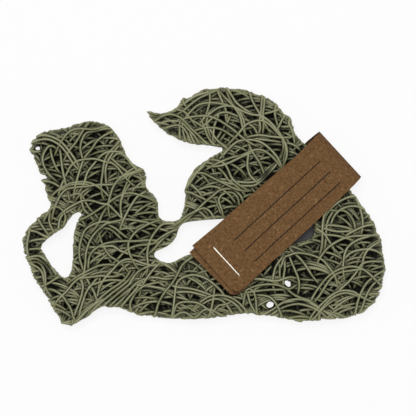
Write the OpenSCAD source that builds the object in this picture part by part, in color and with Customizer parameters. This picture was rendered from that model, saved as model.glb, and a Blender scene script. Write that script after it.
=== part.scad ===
// Soap saver: a thick flat mat of welded plastic strands, die-cut to a swimming mermaid's
// outline, with an arm opening and a tail slot. A folded card hang tag goes round the tail
// through the slot and is closed by a wire staple.
// Millimetres. The mat lies on z = 0, soap side up; +X points at the tail's bend, +Y at the flukes.

/* [Mat] */
// overall length of the outline, hand to tail bend
mat_length = 117.7; // [100:0.1:140]
// overall height of the outline, hip to fluke
mat_height = 77.3; // [66:0.1:92]
// diameter of one strand
strand_d = 1.0; // [0.8:0.05:1.3]
// depth that a strand sinks into the one below, where they are welded
weld_sink = 0.01; // [0.005:0.005:0.04]
// depth of the flats on the lowest and the highest strands
face_flat = 0.1; // [0.05:0.01:0.2]

/* [Strand loops] */
// radius of a strand's loop
loop_r = 13.5; // [12:0.5:18]
// width of one column of loops
column_w = 22; // [16:0.2:24]
// gap between the loops of neighbouring columns
column_gap = 0.4; // [0.2:0.1:1.2]
// distance between the two strands of a pair
pair_step = 2.1; // [2:0.1:3]
// distance between pairs in the outer courses
outer_step = 8.4; // [6:0.2:12]
// distance between pairs in the inner courses
inner_step = 11; // [6:0.2:14]
// shortest piece of strand kept at the outline
least_strand = 4; // [3:0.5:8]

/* [Card tag] */
// width of the card strip
card_w = 20.2; // [15:0.05:26]
// thickness of the card
card_t = 0.4; // [0.3:0.05:0.6]
// how far the stapled end reaches over the mat, from the slot's lower edge
lap_l = 10.4; // [9:0.1:13]
// how far the back panel's end shows beyond the front panel's
lap_peek = 1.9; // [0.5:0.1:3]
// inside gap between the card's fold and the edge of the tail
fold_gap = 1.3; // [0.8:0.1:3]
// gap between the card and the strands that it lies along
card_gap = 0.12; // [0.05:0.01:0.4]
// gap between the card's back panel and what the mat rests on
floor_gap = 0.05; // [0.02:0.01:0.1]
// gap between the two panels at the stapled end
lap_gap = 0.05; // [0.02:0.01:0.2]
// bend radius of the ramp through the slot, at the middle of the card
ramp_r = 2.8; // [2:0.1:3.6]
// how far the ramp's head lies over the slot's lower edge
head_over = 0.5; // [0:0.1:0.8]
// how far the ramp's foot lies under the slot's upper edge
foot_under = 0.2; // [0:0.1:0.6]
// how far the back panel drifts sideways by its stapled end
lap_skew = 0.6; // [0:0.1:1.5]
// free room round the card where it passes under the tail
card_room = 1.2; // [0.8:0.1:3]

/* [Staple] */
// length of the staple's crown
crown_l = 12.7; // [10:0.1:14]
// diameter of the staple's wire
wire_d = 0.5; // [0.4:0.05:0.6]
// length of each clinched leg end
clinch_l = 4.2; // [2.5:0.1:5]
// distance of the staple from the stapled end
staple_in = 4.9; // [3:0.1:7]
// distance of the staple's middle from the tag's middle line
staple_aside = -0.3; // [-1.5:0.1:1.5]
// clearance round a leg in its hole
leg_gap = 0.04; // [0.02:0.01:0.1]

/* [Hidden] */
$fn = 24;

// heading of each course's loops, lowest first, in degrees from +X
HEADINGS = [150, 62, 118, 20, 168, 100, 42, 136, 84];
courses = len(HEADINGS);
course_step = strand_d - weld_sink;
mat_top = (courses - 1) * course_step + strand_d - 2 * face_flat;

// outline points at the size drawn, clockwise from the nape of the hair
drawn_length = 117.7;
drawn_height = 77.3;
HEAD = [[-56.4, 18.2], [-55.3, 21.5], [-54, 23], [-51.5, 24.3], [-48.5, 25], [-44.2, 25.8],
        [-41.6, 26.7], [-39.1, 27.5], [-36.5, 27.7], [-32.7, 27.1], [-30.5, 26], [-27.6, 22.6],
        [-25.8, 19], [-25.2, 16.8], [-22.4, 13.8], [-19.4, 12.1], [-18.5, 10.5]];
CHEST = [[-18.5, 6.2], [-16, 4], [-14.9, 1.9], [-14.7, -2], [-14.1, -4], [-11.3, -4.6],
         [-8.6, -4.4]];
LOWER_FLUKE = [[-7.4, -3], [-6.2, 0.8], [-6.2, 5.3], [-5, 8.9], [-3.4, 11.6], [-0.8, 14],
               [2.2, 16.1], [5.3, 17.7], [6.1, 18.7]];
UPPER_FLUKE = [[4, 19], [1.3, 19.8], [-3, 20], [-8, 21.5], [-12.6, 24.1], [-16.3, 27.2],
               [-18.5, 30.4], [-17.3, 30.9], [-15.4, 30.4], [-13.4, 30.4], [-10.6, 31.1],
               [-8.9, 32.3], [-7.4, 34.3], [-6.4, 35.4], [-5.3, 35], [-2.4, 36.9], [1.3, 38.2],
               [6.5, 38.6], [12.1, 38.1], [16.4, 36.9], [19.4, 35.8], [21.9, 34.6], [24.5, 32.2],
               [26.6, 29.9], [28.1, 28.8], [28.8, 26.7], [29.4, 24.8], [30.9, 22], [32.6, 20.5]];
TAIL = [[47.6, 5.1], [49.7, 2.5], [52.7, -1.3], [55.4, -5.6], [56.5, -8.6], [57.6, -11.1],
        [58.2, -14.5], [58.9, -18.8], [58.4, -23.9], [57.4, -26.9], [56.3, -30.3], [53.5, -32.9],
        [50.6, -34.8], [46.3, -36.1], [39.9, -36.7], [33, -37.2], [30.9, -37.5]];
HIP = [[27, -36.7], [21.9, -35.7], [17.2, -35.1], [12.5, -34.7], [6.5, -35.7], [1.4, -36.2],
       [-7.9, -36.5], [-18.6, -35.7], [-22, -34.9], [-27.1, -33.1], [-31.4, -32.6],
       [-33.9, -32.9], [-37.4, -35.7], [-40.8, -37.6], [-42.9, -38.7]];
ARM = [[-45, -38.3], [-46.3, -37.4], [-49.7, -31.6], [-52.7, -26.5], [-54.9, -23.1],
       [-56.8, -18], [-58.5, -14.1], [-58.9, -10.7], [-57.9, -8.6], [-56.4, -6.4],
       [-53.6, -3.4], [-50.6, -1.2], [-49.3, 0.6], [-50.6, 2.7], [-51.7, 6.2], [-52.5, 9],
       [-51.4, 9.8], [-52.7, 10.5], [-53.8, 13.4], [-55.7, 16.4]];
ARM_OPENING = [[-39.6, -1.5], [-42.5, -2.8], [-44.2, -4.9], [-45.9, -7.3], [-48.5, -8.8],
               [-51.5, -11.3], [-52.7, -12.8], [-52.3, -14.5], [-49.3, -19.2], [-46.3, -22.4],
               [-45, -23.1], [-43.3, -22], [-42.3, -17.5], [-42.3, -13.3], [-41.9, -9],
               [-40.8, -4.7], [-39.5, -2.6]];
TAIL_SLOT = [[-7.9, -6.9], [-9.2, -10.3], [-11.7, -12.8], [-15.8, -14.7], [-16.4, -15.8],
             [-14.3, -17.5], [-11.3, -18.3], [-8.8, -17.5], [-4.1, -15.4], [5.3, -14.5],
             [14.9, -14], [27.6, -12.4], [33.2, -11], [35.2, -10.1], [36, -8], [35.7, -4.7],
             [34.3, -2.1], [31.4, -0.8], [24.6, -0.6], [18.8, -1], [13.3, -1.9], [6.6, -3.9],
             [1.4, -4.3], [-5.8, -5.2]];

function sized(loop) = [for (p = loop) [p[0] * mat_length / drawn_length,
                                        p[1] * mat_height / drawn_height]];
outer_loop = sized(concat(HEAD, CHEST, LOWER_FLUKE, UPPER_FLUKE, TAIL, HIP, ARM));
arm_loop = sized(ARM_OPENING);
slot_loop = sized(TAIL_SLOT);

// a loop moved inwards by d along its corners' normals, for a clockwise loop
function unit(v) = v / norm(v);
function left_of(v) = [-v[1], v[0]];
function moved_in(loop, d) =
    let (n = len(loop))
    [for (i = [0 : n - 1])
        let (a = loop[(i + n - 1) % n], b = loop[i], c = loop[(i + 1) % n],
             m = unit(left_of(unit(b - a)) + left_of(unit(c - b))))
        b - m * d];

strand_r = strand_d / 2;
// strands are cut a little inside the outline, so that their square ends stay within it
cut_inset = strand_d / 4;
cut_loops = [moved_in(outer_loop, cut_inset), moved_in(arm_loop, cut_inset),
             moved_in(slot_loop, cut_inset)];

// how often a line from p towards +X crosses a loop
function crossings(p, loop) =
    let (n = len(loop))
    len([for (i = [0 : n - 1])
        let (a = loop[i], b = loop[(i + 1) % n])
        if ((a[1] > p[1]) != (b[1] > p[1])
            && p[0] < a[0] + (p[1] - a[1]) * (b[0] - a[0]) / (b[1] - a[1])) 1]);
function within(p, loop) = crossings(p, loop) % 2 == 1;

// The tag's own axes: its middle line runs from the stapled end to the fold.
tag_turn = 42.6;
tag_dir = [cos(tag_turn), sin(tag_turn)];
tag_side = [-sin(tag_turn), cos(tag_turn)];
// where the middle line passes over the slot's lower edge
tag_mark = sized([[11.2, -13.7]])[0];
function along(p) = (p - tag_mark) * tag_dir + lap_l;
function across(p) = (p - tag_mark) * tag_side;

// distance along the tag's middle line, from its stapled end, to where it crosses a loop
function line_hits(loop) =
    let (n = len(loop))
    [for (i = [0 : n - 1])
        let (a = loop[i], b = loop[(i + 1) % n], sa = across(a), sb = across(b))
        if ((sa > 0) != (sb > 0)) along(a + (b - a) * sa / (sa - sb))];
tail_edge = max(line_hits(outer_loop));

// the slot's edges, along Y, over the width of the strip
ramp_low = max([for (x = [0 : 4 : 28]) slot_edge(tag_mark[0] + x - 12, -1)]);
ramp_high = min([for (x = [0 : 4 : 28]) slot_edge(tag_mark[0] + x - 6, 1)]);
function slot_edge(x, side) =
    let (n = len(slot_loop),
         ys = [for (i = [0 : n - 1])
             let (a = slot_loop[i], b = slot_loop[(i + 1) % n])
             if ((a[0] > x) != (b[0] > x)) a[1] + (x - a[0]) * (b[1] - a[1]) / (b[0] - a[0])])
    side > 0 ? max(ys) : min(ys);

// heights of the card: back panel below, lap and front panel above
back_z = floor_gap;
lap_z = mat_top + wire_d + card_gap;
front_lap_z = lap_z + card_t + lap_gap;
front_z = mat_top + card_gap;
fold_at = tail_edge + fold_gap;
fold_r = (front_z + card_t - back_z) / 2;

// ends of the ramp along Y: its head over the slot's lower edge, its foot under the upper one
ramp_head = ramp_low - head_over;
ramp_foot = ramp_high + foot_under;

// room kept free of strands in the lowest course, for the back panel
function under_card(p) =
    abs(across(p)) < card_w / 2 + card_room + strand_r && p[1] > ramp_low - card_room;

function on_mat(p, course) =
    within(p, cut_loops[0]) && !within(p, cut_loops[1]) && !within(p, cut_loops[2])
    && !(course == 0 && under_card(p));

// One course: columns of parallel loops that open towards its heading's back.
probe = 4;
function turned(p, a) = [p[0] * cos(a) - p[1] * sin(a), p[0] * sin(a) + p[1] * cos(a)];
function point_at(centre, r, a) = centre + r * [cos(a), sin(a)];

// angle between an inside angle and an outside one at which the strand meets the outline
function edge_angle(centre, r, inner, outer, course, n = 6) =
    n == 0 ? inner
    : let (mid = (inner + outer) / 2)
      on_mat(point_at(centre, r, mid), course)
        ? edge_angle(centre, r, mid, outer, course, n - 1)
        : edge_angle(centre, r, inner, mid, course, n - 1);

// the parts of an arc that lie on the mat, as [start, end] angles
function kept_parts(centre, r, from, to, course) =
    let (n = ceil((to - from) / probe), step = (to - from) / n,
         in = [for (i = [0 : n]) on_mat(point_at(centre, r, from + i * step), course)],
         starts = [for (i = [0 : n]) if (in[i] && (i == 0 || !in[i - 1]))
             i == 0 ? from
             : edge_angle(centre, r, from + i * step, from + (i - 1) * step, course)],
         ends = [for (i = [0 : n]) if (in[i] && (i == n || !in[i + 1]))
             i == n ? to
             : edge_angle(centre, r, from + i * step, from + (i + 1) * step, course)])
    [for (i = [0 : 1 : len(starts) - 1])
        if ((ends[i] - starts[i]) * PI / 180 * r > least_strand) [starts[i], ends[i]]];

reach = norm([mat_length, mat_height]) / 2 + loop_r;
loop_half = asin((column_w - column_gap - strand_d) / 2 / loop_r);

// strands of a course as [centre, start angle, end angle]
function strands(course) =
    let (heading = HEADINGS[course],
         outer = course < 1 || course > courses - 3,
         step = outer ? outer_step : inner_step,
         columns = ceil(reach / column_w), rows = ceil(reach / step),
         shift = rands(-0.5, 0.5, 2 * columns + 1, 11 + course),
         offset = rands(0, 1, 1, 31 + course)[0])
    [for (i = [-columns : columns], j = [-rows : rows], k = [0, 1])
        let (u = (i + offset) * column_w,
             v = (j + shift[i + columns]) * step + k * pair_step,
             centre = turned([u, v - loop_r], heading - 90))
        if (norm([u, v]) < reach)
        for (part = kept_parts(centre, loop_r, heading - loop_half, heading + loop_half,
                               course))
            [centre, part[0], part[1]]];

module strand_section(course) {
    lower = course == 0 ? -strand_r + face_flat : -strand_r;
    upper = course == courses - 1 ? strand_r - face_flat : strand_r;
    if (course == 0 || course == courses - 1)
        intersection() {
            circle(d = strand_d);
            translate([-strand_r, lower]) square([strand_d, upper - lower]);
        }
    else
        circle(d = strand_d);
}

module course_of_strands(course) {
    mid = course * course_step + strand_r - face_flat;
    for (s = strands(course))
        translate([s[0][0], s[0][1], mid])
            rotate([0, 0, s[1]])
                rotate_extrude(angle = s[2] - s[1])
                    translate([loop_r, 0]) strand_section(course);
}

module strands_colour() color([0.5, 0.5, 0.38]) children();

module sole_strands() strands_colour() course_of_strands(0);
module second_strands() strands_colour() course_of_strands(1);
module third_strands() strands_colour() course_of_strands(2);
module fourth_strands() strands_colour() course_of_strands(3);
module fifth_strands() strands_colour() course_of_strands(4);
module sixth_strands() strands_colour() course_of_strands(5);
module seventh_strands() strands_colour() course_of_strands(6);
module eighth_strands() strands_colour() course_of_strands(7);
module soap_face_strands() strands_colour() course_of_strands(8);

// Card: distances t run along the tag from its stapled end, s across it.
fold_steps = 24;
slope_from = lap_l - 1;
slope_to = lap_l + 14;
straight_end = 2;

function ring_points(r, from, to) =
    [for (i = [0 : fold_steps])
        let (a = from + (to - from) * i / fold_steps)
        [fold_at + r * cos(a), back_z + fold_r + r * sin(a)]];

// front panel, round fold and the first bit of the back panel, in t and z
front_profile = concat(
    [[0, front_lap_z + card_t], [slope_from, front_lap_z + card_t],
     [slope_to, front_z + card_t]],
    ring_points(fold_r, 90, -90),
    [[fold_at - straight_end, back_z], [fold_at - straight_end, back_z + card_t]],
    ring_points(fold_r - card_t, -90, 90),
    [[slope_to, front_z], [slope_from, front_lap_z], [0, front_lap_z]]);

// middle line of the back panel in y and z: lap, two equal bends with a straight between, foot
ramp_run = ramp_foot - ramp_head;
ramp_rise = lap_z - back_z;
bend_span = norm([ramp_run, ramp_rise - 2 * ramp_r]);
ramp_tilt = atan2(ramp_rise - 2 * ramp_r, ramp_run) + asin(2 * ramp_r / bend_span);
bend_steps = 10;

// one side of the card, d above its middle line
function back_side(d) = concat(
    [[ramp_head - 40, lap_z + card_t / 2 + d]],
    [for (i = [0 : bend_steps])
        let (a = ramp_tilt * i / bend_steps)
        [ramp_head + (ramp_r + d) * sin(a), lap_z + card_t / 2 - ramp_r + (ramp_r + d) * cos(a)]],
    [for (i = [bend_steps : -1 : 0])
        let (a = ramp_tilt * i / bend_steps)
        [ramp_foot - (ramp_r - d) * sin(a), back_z + card_t / 2 + ramp_r - (ramp_r - d) * cos(a)]],
    [[ramp_foot + 60, back_z + card_t / 2 + d]]);
function reversed(list) = [for (i = [len(list) - 1 : -1 : 0]) list[i]];
back_profile = concat(back_side(card_t / 2), reversed(back_side(-card_t / 2)));

back_plan = [[fold_at, card_w / 2], [fold_at - straight_end, card_w / 2],
             [-lap_peek, card_w / 2 - lap_skew], [-lap_peek / 2, -card_w / 2 - lap_skew],
             [fold_at - straight_end, -card_w / 2], [fold_at, -card_w / 2]];

tag_start = tag_mark - lap_l * tag_dir;

module on_tag()
    translate([tag_start[0], tag_start[1], 0]) rotate([0, 0, tag_turn]) children();

module back_panel()
    intersection() {
        linear_extrude(height = front_z + 10) polygon(back_plan);
        // the profile is drawn along Y, so it is set square to the page and turned back
        rotate([0, 0, -tag_turn])
            translate([-60, -tag_start[1], 0])
                rotate([90, 0, 90])
                    linear_extrude(height = 160) polygon(back_profile);
    }

module front_panel()
    translate([0, card_w / 2, 0])
        rotate([90, 0, 0])
            linear_extrude(height = card_w) polygon(front_profile);

leg_at = (crown_l - wire_d) / 2;
hole = wire_d + 2 * leg_gap;

module tag_card()
    color([0.56, 0.42, 0.28])
    on_tag()
        difference() {
            union() {
                front_panel();
                back_panel();
            }
            for (side = [-1, 1])
                translate([staple_in - hole / 2, staple_aside + side * leg_at - hole / 2,
                           lap_z - 1])
                    cube([hole, hole, front_lap_z + card_t - lap_z + 2]);
        }

// Staple: one wire bent to a C, drawn in s and z, with rounded outer corners.
staple_gap = 0.02;
crown_z = front_lap_z + card_t + staple_gap;
clinch_z = lap_z - staple_gap;
corner_r = wire_d * 0.7;
function corner(s, z, from) =
    [for (a = [0 : 15 : 90]) [s + corner_r * cos(from - a), z + corner_r * sin(from - a)]];
half_crown = crown_l / 2;
staple_profile = concat(
    corner(-half_crown + corner_r, crown_z + wire_d - corner_r, 180),
    corner(half_crown - corner_r, crown_z + wire_d - corner_r, 90),
    corner(half_crown - corner_r, clinch_z - wire_d + corner_r, 0),
    [[half_crown - wire_d - clinch_l, clinch_z - wire_d],
     [half_crown - wire_d - clinch_l, clinch_z],
     [half_crown - wire_d, clinch_z], [half_crown - wire_d, crown_z],
     [-half_crown + wire_d, crown_z], [-half_crown + wire_d, clinch_z],
     [-half_crown + wire_d + clinch_l, clinch_z],
     [-half_crown + wire_d + clinch_l, clinch_z - wire_d]],
    corner(-half_crown + corner_r, clinch_z - wire_d + corner_r, -90));

module staple()
    color([0.82, 0.82, 0.8])
    on_tag()
        translate([staple_in - wire_d / 2, staple_aside, 0])
            rotate([90, 0, 90])
                linear_extrude(height = wire_d) polygon(staple_profile);

sole_strands();
second_strands();
third_strands();
fourth_strands();
fifth_strands();
sixth_strands();
seventh_strands();
eighth_strands();
soap_face_strands();
tag_card();
staple();
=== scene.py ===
# Soap saver: a mat of welded plastic strands with a folded card tag and a staple.
import math
import bpy
import numpy as np
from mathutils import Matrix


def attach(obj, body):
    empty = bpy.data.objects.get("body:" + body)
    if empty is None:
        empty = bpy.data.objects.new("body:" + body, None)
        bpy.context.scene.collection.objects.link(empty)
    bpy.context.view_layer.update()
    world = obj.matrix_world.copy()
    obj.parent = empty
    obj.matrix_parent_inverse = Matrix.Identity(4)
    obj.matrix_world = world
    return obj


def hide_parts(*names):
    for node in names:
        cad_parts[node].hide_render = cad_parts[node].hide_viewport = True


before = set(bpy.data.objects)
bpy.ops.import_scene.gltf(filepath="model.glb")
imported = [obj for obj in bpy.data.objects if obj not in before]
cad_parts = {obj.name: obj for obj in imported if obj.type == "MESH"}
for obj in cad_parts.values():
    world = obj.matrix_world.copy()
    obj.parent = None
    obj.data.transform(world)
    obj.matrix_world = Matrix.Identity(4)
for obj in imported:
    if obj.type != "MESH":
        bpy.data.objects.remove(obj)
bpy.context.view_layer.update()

MM = 0.001
rng = np.random.default_rng(20)


def linked(name, data):
    """A new object of the scene that shows the data."""
    obj = bpy.data.objects.new(name, data)
    bpy.context.collection.objects.link(obj)
    return obj


# Camera: straight above, as far off as a studio camera, framed as the photograph
PHOTO_PIXELS = 416
PIXEL = 0.322
ORIGIN_PIXEL = (203.6, 206.5)
CAMERA_UP = 760.0
FRAMED_AT = 9.0
SENSOR = 36.0

camera_data = bpy.data.cameras.new("camera")
camera_data.sensor_width = SENSOR
camera_data.lens = SENSOR * (CAMERA_UP - FRAMED_AT) / (PHOTO_PIXELS * PIXEL)
camera_data.clip_start = 0.05
camera = linked("camera", camera_data)
camera.location = ((PHOTO_PIXELS / 2 - ORIGIN_PIXEL[0]) * PIXEL * MM,
                   (ORIGIN_PIXEL[1] - PHOTO_PIXELS / 2) * PIXEL * MM, CAMERA_UP * MM)
bpy.context.scene.camera = camera

# Sizes in mm, as in the part's source
STRAND_R = 0.5
MAT_TOP = 8.72
CARD_W = 20.2
CARD_T = 0.4
BACK_Z = 0.05
TAG_TURN = math.radians(42.6)
TAG_START = np.array([3.5446, -20.7395])
FOLD_AT = 50.91
TAG_ALONG = np.array([math.cos(TAG_TURN), math.sin(TAG_TURN)])
TAG_ACROSS = np.array([-math.sin(TAG_TURN), math.cos(TAG_TURN)])

# Outline corners, clockwise from the nape of the hair
HEAD = [(-56.4, 18.2), (-55.3, 21.5), (-54, 23), (-51.5, 24.3), (-48.5, 25), (-44.2, 25.8),
        (-41.6, 26.7), (-39.1, 27.5), (-36.5, 27.7), (-32.7, 27.1), (-30.5, 26), (-27.6, 22.6),
        (-25.8, 19), (-25.2, 16.8), (-22.4, 13.8), (-19.4, 12.1), (-18.5, 10.5)]
CHEST = [(-18.5, 6.2), (-16, 4), (-14.9, 1.9), (-14.7, -2), (-14.1, -4), (-11.3, -4.6),
         (-8.6, -4.4)]
LOWER_FLUKE = [(-7.4, -3), (-6.2, 0.8), (-6.2, 5.3), (-5, 8.9), (-3.4, 11.6), (-0.8, 14),
               (2.2, 16.1), (5, 17.5), (7.1, 18.6)]
UPPER_FLUKE = [(4.6, 19.2), (1.3, 19.8), (-3, 20), (-8, 21.5), (-12.6, 24.1), (-16.3, 27.2),
               (-18.5, 30.4), (-17.3, 30.9), (-15.4, 30.4), (-13.4, 30.4), (-10.6, 31.1),
               (-8.9, 32.3), (-7.4, 34.3), (-6.4, 35.4), (-5.3, 35), (-2.4, 36.9), (1.3, 38.2),
               (6.5, 38.6), (12.1, 38.1), (16.4, 36.9), (19.4, 35.8), (21.9, 34.6),
               (24.5, 32.2), (26.6, 29.9), (28.1, 28.8), (28.8, 26.7), (29.4, 24.8),
               (30.9, 22), (32.6, 20.5)]
TAIL = [(47.6, 5.1), (49.7, 2.5), (52.7, -1.3), (55.4, -5.6), (56.5, -8.6), (57.6, -11.1),
        (58.2, -14.5), (58.9, -18.8), (58.4, -23.9), (57.4, -26.9), (56.3, -30.3),
        (53.5, -32.9), (50.6, -34.8), (46.3, -36.1), (39.9, -36.7), (33, -37.2), (30.9, -37.5)]
HIP = [(27, -36.7), (21.9, -35.7), (17.2, -35.1), (12.5, -34.7), (6.5, -35.7), (1.4, -36.2),
       (-7.9, -36.5), (-18.6, -35.7), (-22, -34.9), (-27.1, -33.1), (-31.4, -32.6),
       (-33.9, -32.9), (-37.4, -35.7), (-40.8, -37.6), (-42.9, -38.7)]
ARM = [(-45, -38.3), (-46.3, -37.4), (-49.7, -31.6), (-52.7, -26.5), (-54.9, -23.1),
       (-56.8, -18), (-58.5, -14.1), (-58.9, -10.7), (-57.9, -8.6), (-56.4, -6.4),
       (-53.6, -3.4), (-50.6, -1.2), (-49.3, 0.6), (-50.6, 2.7), (-51.7, 6.2), (-52.9, 8.8),
       (-50.7, 9.7), (-53, 10.6), (-53.8, 13.4), (-55.7, 16.4)]
ARM_OPENING = [(-39.6, -1.5), (-42.5, -2.8), (-44.2, -4.9), (-45.9, -7.3), (-48.5, -8.8),
               (-51.5, -11.3), (-52.7, -12.8), (-52.3, -14.5), (-49.3, -19.2),
               (-46.3, -22.4), (-45, -23.1), (-43.3, -22), (-42.3, -17.5), (-42.3, -13.3),
               (-41.9, -9), (-40.8, -4.7), (-39.5, -2.6)]
TAIL_SLOT = [(-7.9, -6.9), (-9.2, -10.3), (-11.7, -12.8), (-15.8, -14.7), (-16.4, -15.8),
             (-14.3, -17.5), (-11.3, -18.3), (-8.8, -17.5), (-4.1, -15.4), (5.3, -14.5),
             (14.9, -14), (27.6, -12.4), (33.2, -11), (35.2, -10.1), (36, -8), (35.7, -4.7),
             (34.3, -2.1), (31.4, -0.8), (24.6, -0.6), (18.8, -1), (13.3, -1.9), (6.6, -3.9),
             (1.4, -4.3), (-5.8, -5.2)]

# Teeth of the outer cut: how far apart and how deep
TOOTH = 0.6
TOOTH_DEPTH = 0.55


def curve_part(a, b, c, d, t):
    """The stretch from b to c of a smooth curve through a, b, c and d."""
    return 0.5 * (2 * b + (c - a) * t + (2 * a - 5 * b + 4 * c - d) * t**2
                  + (3 * b - a - 3 * c + d) * t**3)


def smooth_loop(corners, steps=5):
    """A closed curve through the corners."""
    p = np.array(corners, float)[:, None, :]
    t = np.linspace(0, 1, steps, endpoint=False)[None, :, None]
    return curve_part(np.roll(p, 1, 0), p, np.roll(p, -1, 0), np.roll(p, -2, 0),
                      t).reshape(-1, 2)


def smooth_line(corners, steps=6):
    """An open curve through the corners."""
    p = np.vstack([2 * corners[0] - corners[1], corners, 2 * corners[-1] - corners[-2]])
    p = p[:, None, :]
    t = np.linspace(0, 1, steps, endpoint=False)[None, :, None]
    return np.vstack([curve_part(p[:-3], p[1:-2], p[2:-1], p[3:], t).reshape(-1, 2), p[-2]])


def travelled(steps):
    """How far along a path its points lie, from the lengths of its steps."""
    return np.concatenate([[0], np.cumsum(steps)])


def points_at(t, s, path):
    """The path's points at the lengths t, where s are the lengths at its own points."""
    return np.stack([np.interp(t, s, column) for column in path.T], 1)


def resampled(path, step):
    """A path at even steps, as seen from above, and how far along its points lie."""
    s = travelled(np.hypot(*np.diff(path[:, :2], axis=0).T))
    t = np.linspace(0, s[-1], max(int(round(s[-1] / step)), 2) + 1)
    return points_at(t, s, path), t


def ragged(loop):
    """The loop with small teeth, as the cut ends of the strands leave it."""
    closed = np.vstack([loop, loop[:1]])
    s = travelled(np.hypot(*np.diff(closed, axis=0).T))
    t = np.arange(0, s[-1] - TOOTH / 2, TOOTH)
    points = points_at(t, s, closed)
    along = np.roll(points, -1, 0) - np.roll(points, 1, 0)
    inward = np.column_stack([along[:, 1], -along[:, 0]])
    inward /= np.hypot(*inward.T)[:, None]
    return points + inward * (rng.uniform(size=len(t))**2 * TOOTH_DEPTH)[:, None]


LOOPS = [ragged(smooth_loop(HEAD + CHEST + LOWER_FLUKE + UPPER_FLUKE + TAIL + HIP + ARM)),
         smooth_loop(ARM_OPENING), smooth_loop(TAIL_SLOT)]


def signed_depth(points):
    """Distance from the nearest edge of the mat, above 0 inside it, and that nearest point."""
    best = np.full(len(points), np.inf)
    nearest = np.zeros_like(points)
    inside = np.zeros(len(points), bool)
    for loop in LOOPS:
        for a, b in zip(loop, np.roll(loop, -1, 0)):
            ab = b - a
            t = np.clip(((points - a) @ ab) / (ab @ ab), 0, 1)
            foot = a + t[:, None] * ab
            gap = np.hypot(*(points - foot).T)
            closer = gap < best
            best[closer] = gap[closer]
            nearest[closer] = foot[closer]
            if a[1] != b[1]:
                spans = (a[1] > points[:, 1]) != (b[1] > points[:, 1])
                reach = a[0] + (points[:, 1] - a[1]) * ab[0] / ab[1]
                inside ^= spans & (points[:, 0] < reach)
    return np.where(inside, best, -best), nearest


# The ground in cells, and a coarser map of that depth, to pick out what needs the exact one
CELL = 0.2
LOW = np.array([-62.0, -42.0])
SHAPE = (620, 420)
MAP_STEP = 4
MAP_CELL = MAP_STEP * CELL
MAP_SHAPE = (SHAPE[0] // MAP_STEP + 1, SHAPE[1] // MAP_STEP + 1)


def cell_places(shape, cell):
    """Where the cells of a grid lie, row by row."""
    at = np.stack(np.meshgrid(*map(np.arange, shape), indexing="ij"), -1)
    return at.reshape(-1, 2) * cell + LOW


def between_cells(grid, g):
    """A grid's value at places g, counted in cells, between the four nearest cells."""
    g = np.clip(g, 0, np.array(grid.shape) - 1.001)
    x, y = g.astype(int).T
    u, v = (g - g.astype(int)).T
    return (grid[x, y] * (1 - u) * (1 - v) + grid[x + 1, y] * u * (1 - v)
            + grid[x, y + 1] * (1 - u) * v + grid[x + 1, y + 1] * u * v)


depth_map = signed_depth(cell_places(MAP_SHAPE, MAP_CELL))[0].reshape(MAP_SHAPE)


def rough_depth(points):
    """How deep inside the mat's edge points lie, from the coarse map."""
    return between_cells(depth_map, (points - LOW) / MAP_CELL)


def cells_of(points, margin=0):
    """The cells that points lie in, kept off the grid's edge by the margin."""
    at = np.round((points[..., :2] - LOW) / CELL).astype(int)
    return np.clip(at, margin, np.array(SHAPE) - 1 - margin)


# Small holes that go right through the mat: centre, half sizes and heading
HOLES = [((-53.8, 18.85), (0.75, 0.65), 20), ((27.15, -25.0), (1.35, 0.65), -48),
         ((21.5, -31.8), (1.2, 1.1), 0)]
# A strand that comes this near a hole is bent, at most BENDS times, until its nearest point
# is HOLE_EDGE of the way out to where it just passes. A bend fades over BEND_POINTS each way.
HOLE_NEAR = 3
HOLE_EDGE = 0.98
HOLE_MIDDLE = 0.02
BEND_POINTS = 11.0
BENDS = 6


def round_holes(points):
    """Bends a strand round the holes, smoothly, to the side on which it passes."""
    points = np.array(points)
    for centre, half, heading in HOLES:
        away = points[:, :2] - centre
        if np.hypot(*away.T).min() > HOLE_NEAR:
            continue
        c, s = math.cos(math.radians(heading)), math.sin(math.radians(heading))
        turn = np.array([[c, -s], [s, c]])
        room = np.array(half) + STRAND_R
        q = away @ turn / room
        for _ in range(BENDS):
            r = np.hypot(*q.T)
            i = int(r.argmin())
            if r[i] > HOLE_EDGE:
                break
            out = q[i] / r[i] if r[i] > HOLE_MIDDLE else np.array([0.0, 1.0])
            near = np.exp(-((np.arange(len(q)) - i) / BEND_POINTS) ** 2)[:, None]
            q = q + (1 - r[i]) * near * out
        points[:, :2] = centre + (q * room) @ turn.T
    return points


# How high the strands laid so far reach, and what one more strand's round section adds
height = np.zeros(SHAPE)
disc_at = np.array([(i, j) for i in range(-2, 3) for j in range(-2, 3)
                    if math.hypot(i, j) * CELL < STRAND_R])
disc_far = np.hypot(*disc_at.T) * CELL
disc_up = np.sqrt(STRAND_R**2 - disc_far**2)
FEEL = np.array([(0, 0), (0.3, 0), (-0.3, 0), (0, 0.3), (0, -0.3)])
SINK = 0.06
LAID_STEP = 0.6


def stamp(points, up):
    """Raises the height field to a strand's top."""
    at = np.round((points - LOW) / CELL).astype(int)[:, None, :] + disc_at
    inside = ((at >= 0) & (at < np.array(SHAPE))).all(-1)
    tops = up[:, None] + disc_up
    np.maximum.at(height, (at[..., 0][inside], at[..., 1][inside]), tops[inside])


def past_holes(path):
    """A path led round the holes, at the step of laid strands, and its points' lengths."""
    return resampled(round_holes(resampled(path, CELL)[0]), LAID_STEP)


def softened(z, weights):
    """A strand's heights, each blended with its two neighbours."""
    return np.convolve(np.pad(z, 1, mode="edge"), weights, mode="valid")


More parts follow.
